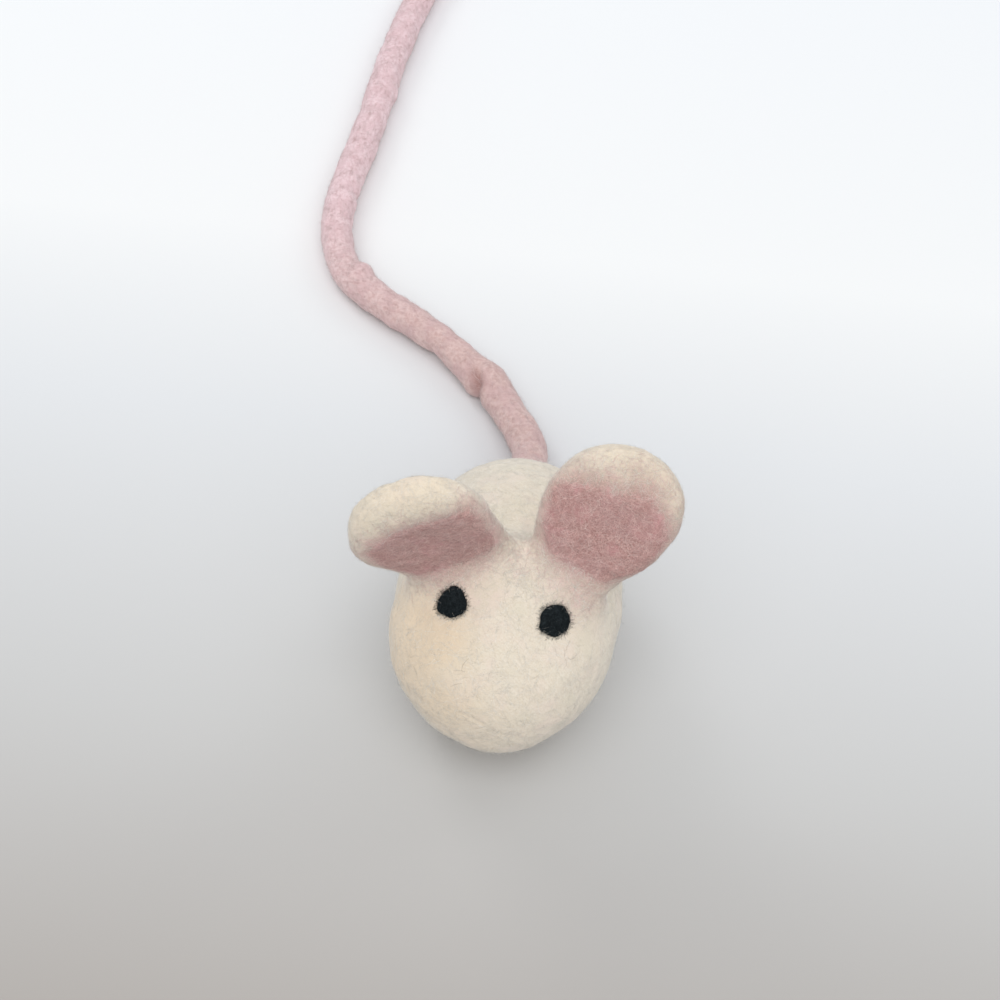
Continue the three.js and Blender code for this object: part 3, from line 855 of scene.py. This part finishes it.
def inside(points, outline):
    """How far points lie inside a closed outline, and below nothing outside it."""
    closed = np.array([*outline, outline[0]])
    within = np.zeros(len(points), bool)
    for (x0, y0), (x1, y1) in zip(closed, closed[1:]):
        crosses = (y0 > points[:, 1]) != (y1 > points[:, 1])
        within ^= crosses & (points[:, 0] < (x1 - x0) * (points[:, 1] - y0) / (y1 - y0 + 1e-12) + x0)
    return np.where(within, 1, -1) * off_line(points, closed)


def rose_on_ear(ear, placed, local, clear):
    """Rose wool on an ear's front: full inside its outline, and thinning out on to the head."""
    up = local[:, 2]
    soft_root = ROSE_SOFT_ROOT * step(9.0, 0.0, up)
    feather = ear["feather"] + soft_root + ear["soft_top"] * step(14.0, 21.0, up)
    within = inside(local[:, [0, 2]], ear["rose"]) + ear["ragged"] * felted_lumps(placed, ROSE_RAGGED)
    laid = step(-1, 1, within / feather) * step(-0.3, 0.3, np.pad(front.ravel(), 1))
    up_ear = step(-1.0, 8.5, clear)
    return up_ear * laid + (1 - up_ear) * np.maximum(patches(placed, ROSE_STRAYS), ROSE_ON_HEAD * laid)


sweep = np.linspace(0, 1, EAR_RINGS + 1)[:-1]
heights = -EAR_BURIED + (EAR_LENGTH + EAR_BURIED) * np.sin(math.pi / 2 * sweep)
width, thickness, square = (h[:, None] for h in ear_halves(heights))
angles = np.linspace(0, 2 * math.pi, EAR_SIDES, endpoint=False)
aside, aback = np.cos(angles), np.sin(angles)
front = -np.sign(aback) * np.abs(aback) ** (2 / square)
ear_faces = tube_faces(EAR_RINGS, EAR_SIDES)
body_surface = BVHTree.FromPolygons(skin.tolist(), skin_faces)
plain_ears = {name: plain_ear(name) for name in EARS}
ear_surfaces = {
    name: BVHTree.FromPolygons(points.tolist(), ear_faces) for name, points in plain_ears.items()
}
ear_pieces = {}
for name, ear in EARS.items():
    foot, axes = ear_frame(name)
    placed = rooted_ear(name)
    clear, _ = heights_over(body_surface, placed)
    _, out = heights_over(ear_surfaces[name], placed)
    puff = felted_lumps(placed, EAR_LUMPS) - EAR_SLACK
    placed = placed + out * (puff * step(0.3, 4.0, clear))[:, None]
    local = (placed - foot) @ axes.T
    laid_rose = rose_on_ear(ear, placed, local, clear)
    off_head = step(0.3, 7.0, clear)
    ear_warm = EAR_TIP_WARMER * step(17, 26, local[:, 2]) + EAR_WARM
    warm = off_head * ear_warm + (1 - off_head) * warmth(placed)
    made = piece(f"{name}_ear_felt", placed, ear_faces, cream_felt, rose=laid_rose, warm=warm)
    place, head_up, _, _ = body_surface.find_nearest(foot)
    bend_from, bend_to = (place + EAR_BEND_FROM * head_up) / 1000, (place + EAR_BEND_TO * head_up) / 1000
    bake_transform(made)
    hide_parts(f"{name}_ear")
    bare = np.sqrt(1 - laid_rose) * step(0.1, 1.0, clear)
    loose = fibres(
        f"{name}_ear_fibres", made, cream_fibres, count=3600, seed=41, length=(1.2, 3.2), width=0.036,
        stand=(0.0, 0.7), where=bare,
    )
    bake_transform(loose)
    ear_pieces[name] = {
        "felt": made, "points": placed, "rose": laid_rose, "clear": clear, "bend": (bend_from, bend_to)
    }


# Ear linings: dusty rose wool laid on the front of each ear and felted in, so it ends in a soft, ragged
# edge. It is heathered from several shades, and strays on to the head at the root.
LINING_FROM, LINING_OFF_HEAD = 0.6, 0.3
LINING_SUNK, LINING_RISE, LINING_DEPTH = 0.25, 0.45, 0.8
LINING_LUMPS = [(0.06, 1.4, 51)]
rose_fibres = fibre_finish(
    "rose_fibres", [(180, 131, 126), (198, 151, 145), (214, 170, 164), (228, 190, 183), (242, 216, 209)]
)
soft_rose_fibres = fibre_finish("soft_rose_fibres", [(218, 182, 174), (230, 200, 192), (242, 220, 211)])
for name, ear in ear_pieces.items():
    placed, laid_rose, clear = ear["points"], ear["rose"], ear["clear"]
    bend_from, bend_to = ear["bend"]
    normals = np.empty(len(placed) * 3)
    ear["felt"].data.vertices.foreach_get("normal", normals)
    normals = normals.reshape(-1, 3)
    lined = (laid_rose > LINING_FROM) & (clear > LINING_OFF_HEAD)
    faces = [list(f.vertices) for f in ear["felt"].data.polygons if lined[list(f.vertices)].all()]
    used = np.unique([v for f in faces for v in f])
    count = len(used)
    number = np.full(len(placed), -1)
    number[used] = np.arange(count)
    top = [[int(number[v]) for v in f] for f in faces]
    edges = dict.fromkeys((start, end) for f in top for start, end in zip(f, f[1:] + f[:1]))
    rim = [(start, end) for start, end in edges if (end, start) not in edges]
    under = [[v + count for v in reversed(f)] for f in top]
    walls = [[end, start, start + count, end + count] for start, end in rim]
    rise = LINING_RISE * step(LINING_FROM, 0.95, laid_rose[used]) - LINING_SUNK
    rise = rise + felted_lumps(placed[used], LINING_LUMPS)
    above = placed[used] + normals[used] * rise[:, None]
    below = placed[used] - normals[used] * LINING_DEPTH
    made = piece(
        f"{name}_ear_lining_felt", np.concatenate([above, below]), top + under + walls, cream_felt,
        rose=np.tile(laid_rose[used], 2), warm=np.zeros(2 * count),
    )
    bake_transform(made)
    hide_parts(f"{name}_ear_lining")
    heather = fibres(
        f"{name}_ear_lining_fibres", made, rose_fibres, count=3400, seed=52, length=(1.2, 3.4),
        width=0.05, stand=(0.0, 0.15), arch=0.03,
        where=np.pad(step(0.68, 1.0, laid_rose[used]), (0, count)),
    )
    feathered = fibres(
        f"{name}_ear_lining_edge", ear["felt"], soft_rose_fibres, count=1600, seed=53, length=(0.8, 2.4),
        width=0.045, stand=(0.0, 0.1), height=0.03, arch=0.03,
        where=laid_rose * (1 - laid_rose) * step(0.5, 3.5, clear),
    )
    for loose in (heather, feathered):
        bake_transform(loose)


# Eyes: plugs of black wool needled into the skin. They are matte, nearly flat and not quite round, and
# single black fibres stray over their edges.
EYE_DOME, EYE_SUNK, EYE_PLUG = 0.85, 0.2, 2.0
EYE_FLATNESS = 0.6
EYE_OUTLINE_LUMPS = [(0.04, 1.6, 61), (0.03, 0.7, 62)]
EYE_TOP_LUMPS = [(0.1, 0.9, 65)]
EYE_CELLS, EYE_SIDES = 28, 60
EYE_DROP = 3.5
# Rings round an eye, as shares of its radius, and how thickly edge fibres root on each.
EYE_RINGS = {0.85: 0.4, 1.0: 1.0, 1.15: 0.1, 1.3: 0.0, 1.5: 0.0}
EYE_COMBING = 2.5
EYES = {
    "left": {
        "middle": np.array([8.964, -17.713, 36.473]),
        "across": (0.9965, 0.4145, -0.3283),
        "upward": (-0.1133, 0.9138, 0.4467),
        "out": np.array([-0.00707, -0.62774, 0.77837]),
        "radii": np.array([2.7, 2.7, 3.04, 2.8, 2.83, 2.73, 2.6, 2.95, 2.75, 2.86, 2.64, 2.69]),
    },
    "right": {
        "middle": np.array([-9.491, -16.696, 36.648]),
        "across": (1.0124, -0.1856, 0.4139),
        "upward": (-0.1348, 1.0267, 0.3085),
        "out": np.array([0.04232, -0.62908, 0.77619]),
        "radii": np.array([2.6, 2.55, 3.05, 3.1, 2.55, 2.45, 2.67, 2.83, 2.45, 2.48, 2.4, 2.58]),
    },
}


def on_eye(eye, turns, level):
    """Places on an eye: turns round its middle, at levels from 0 in its middle to 1 on its outline."""
    radii = eye["radii"]
    turns = turns / (2 * math.pi) * len(radii)
    before = np.floor(turns).astype(int)
    share = step(0, 1, turns - before)
    reach = level * ((1 - share) * radii[before % len(radii)] + share * radii[(before + 1) % len(radii)])
    angles = turns * (2 * math.pi) / len(radii)
    across = np.outer(reach * np.cos(angles), eye["across"])
    upward = np.outer(reach * np.sin(angles), eye["upward"])
    return eye["middle"] + (across + upward)


def laid_on_head(spots, out):
    """Spots dropped on the head along a direction: on its skin or on an ear's root over it."""
    landed = np.empty_like(spots)
    for i, spot in enumerate(spots):
        start = Vector(spot + EYE_DROP * out)
        drops = [surface.ray_cast(start, Vector(-out)) for surface in head_surfaces]
        landed[i] = min((drop for drop in drops if drop[0] is not None), key=lambda drop: drop[3])[0]
    return landed


black_felt, dye = new_finish("black_felt")
place = remembered(dye, "laid", "Vector")
lie = strands(dye, place, width=0.00022, reach=0.002)
black = mixed(dye, between(dye, lie, 0.55, 0.8), dyed(19, 25, 28), dyed(38, 46, 50))
matted(dye, black, lie, relief=0.00025, sheen=0.0)
black_fibres = fibre_finish(
    "black_fibres", [(14, 18, 20), (23, 28, 31), (34, 41, 44), (58, 64, 67)], sheen=0.0
)
head_surfaces = [body_surface]
for ear in ear_pieces.values():
    head_surfaces.append(BVHTree.FromPolygons(ear["points"].tolist(), ear_faces))
eye_directions, eye_faces = ball_grid(EYE_CELLS)
turns = np.linspace(0, 2 * math.pi, EYE_SIDES, endpoint=False)
ring_faces = [
    [low + i, low + EYE_SIDES + i, low + EYE_SIDES + (i + 1) % EYE_SIDES, low + (i + 1) % EYE_SIDES]
    for low in range(0, (len(EYE_RINGS) - 1) * EYE_SIDES, EYE_SIDES)
    for i in range(EYE_SIDES)
]
for name, eye in EYES.items():
    x, y, z = eye_directions.T
    spots = on_eye(eye, np.arctan2(y, x), np.hypot(x, y))
    spots += (spots - eye["middle"]) * felted_lumps(spots, EYE_OUTLINE_LUMPS)[:, None]
    height = np.where(z > 0, EYE_DOME * np.abs(z) ** EYE_FLATNESS, EYE_PLUG * z) - EYE_SUNK
    height = height + felted_lumps(spots, EYE_TOP_LUMPS)
    placed = laid_on_head(spots, eye["out"]) + np.outer(height, eye["out"])
    made = piece(f"{name}_eye_felt", placed, eye_faces, black_felt)
    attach(made, "body")
    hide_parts(f"{name}_eye")
    rings = np.concatenate([on_eye(eye, turns, level) for level in EYE_RINGS])
    outwards = EYE_COMBING * unit(rings - eye["middle"])
    surround = piece("eye_surround", laid_on_head(rings, eye["out"]), ring_faces, black_felt)
    edge = fibres(
        f"{name}_eye_edge", surround, black_fibres, count=480, seed=64, length=(0.2, 0.75), width=0.036,
        stand=(0.0, 0.1), where=np.repeat(list(EYE_RINGS.values()), EYE_SIDES), lie=outwards,
    )
    bpy.data.meshes.remove(surround.data)
    loose = fibres(
        f"{name}_eye_fibres", made, black_fibres, count=900, seed=63, length=(0.6, 2.0), width=0.06,
        stand=(0.0, 0.4), where=step(0.2, 0.5, z),
    )
    for strand in (edge, loose):
        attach(strand, "body")


# Stage: a pale board under the soft light of a ceiling and of two windows behind the mouse, seen
# from the front and above, as the photograph was taken. The board's colour carries painted shade:
# it darkens towards the front, most in a band a little in front of the mouse.
BOARD_HALF = 3.0
BOARD_FRONT, BOARD_BACK = -0.45, 0.24
# painted shade on the board: darkest a little in front of the mouse, paling again further forward
BOARD_PAINTED_SHADE_STOPS = [
    (0.0, dyed(232, 232, 232)),
    (0.36, dyed(216, 214, 212)),
    (0.52, dyed(172, 166, 161)),
    (0.622, dyed(200, 199, 198)),
    (0.739, dyed(224, 225, 227)),
    (0.826, dyed(242, 242, 242)),
    (1.0, dyed(244, 245, 247)),
]
ROOM_COLOUR, ROOM_STRENGTH = (0.95, 0.98, 1.0, 1.0), 0.69
LAMPS_AIM = Vector((0, 0.03, 0.02))
LAMPS = {
    "window_left": {"spot": (-0.5, 0.5, 0.6), "watts": 1.1, "size": 0.35},
    "window_right": {"spot": (0.5, 0.45, 0.6), "watts": 0.45, "size": 0.35},
    "ceiling": {"spot": (0.03, -0.46, 0.7), "watts": 3.45, "size": 0.8},
}
CAMERA_LENS = 75.735
CAMERA_SPOT = (0.006327, -0.251828, 0.326765)
CAMERA_RIGHT = (0.99301, 0.102617, 0.058319)
CAMERA_UP = (-0.115254, 0.736466, 0.666584)
CAMERA_BACK = (0.025453, -0.668646, 0.743145)
board, dye = new_finish("pale_board_painted_shade")
place = dye.node("ShaderNodeTexCoord", {}, {}, "Object")
depth = dye.node("ShaderNodeSeparateXYZ", {}, {"Vector": place}, "Y")
share = dye.node(
    "ShaderNodeMapRange", {}, {"Value": depth, "From Min": BOARD_FRONT, "From Max": BOARD_BACK}
)
# the board's colour is pale with painted shade towards the front
board_painted_shade = dye.node("ShaderNodeValToRGB", {"stops": BOARD_PAINTED_SHADE_STOPS}, {"Fac": share}, "Color")
coat(dye, {"Base Color": board_painted_shade, "Roughness": 0.9, "Specular IOR Level": 0.1})
floor_mesh = bpy.data.meshes.new("floor")
board_corners = [(x * BOARD_HALF, y * BOARD_HALF, 0) for x, y in ((-1, -1), (1, -1), (1, 1), (-1, 1))]
floor_mesh.from_pydata(board_corners, [], [(0, 1, 2, 3)])
floor_mesh.materials.append(board)
floor = in_scene("floor", floor_mesh)

room = bpy.data.worlds.new("soft_room")
room.use_nodes = True
glow = room.node_tree.nodes["Background"].inputs
glow["Color"].default_value = ROOM_COLOUR
glow["Strength"].default_value = ROOM_STRENGTH
bpy.context.scene.world = room
for name, lamp in LAMPS.items():
    light = bpy.data.lights.new(name, "AREA")
    light.energy = lamp["watts"]
    light.size = lamp["size"]
    holder = in_scene(name, light)
    holder.location = lamp["spot"]
    holder.rotation_mode = "QUATERNION"
    holder.rotation_quaternion = (LAMPS_AIM - Vector(lamp["spot"])).to_track_quat("-Z", "Y")

lens = bpy.data.cameras.new("photo_view")
lens.lens = CAMERA_LENS
lens.clip_start, lens.clip_end = 0.02, 20.0
camera = in_scene("photo_view", lens)
turned = Matrix((CAMERA_RIGHT, CAMERA_UP, CAMERA_BACK)).transposed().to_4x4()
camera.matrix_world = Matrix.Translation(CAMERA_SPOT) @ turned
bpy.context.scene.camera = camera
bpy.context.scene.view_settings.view_transform = "Standard"
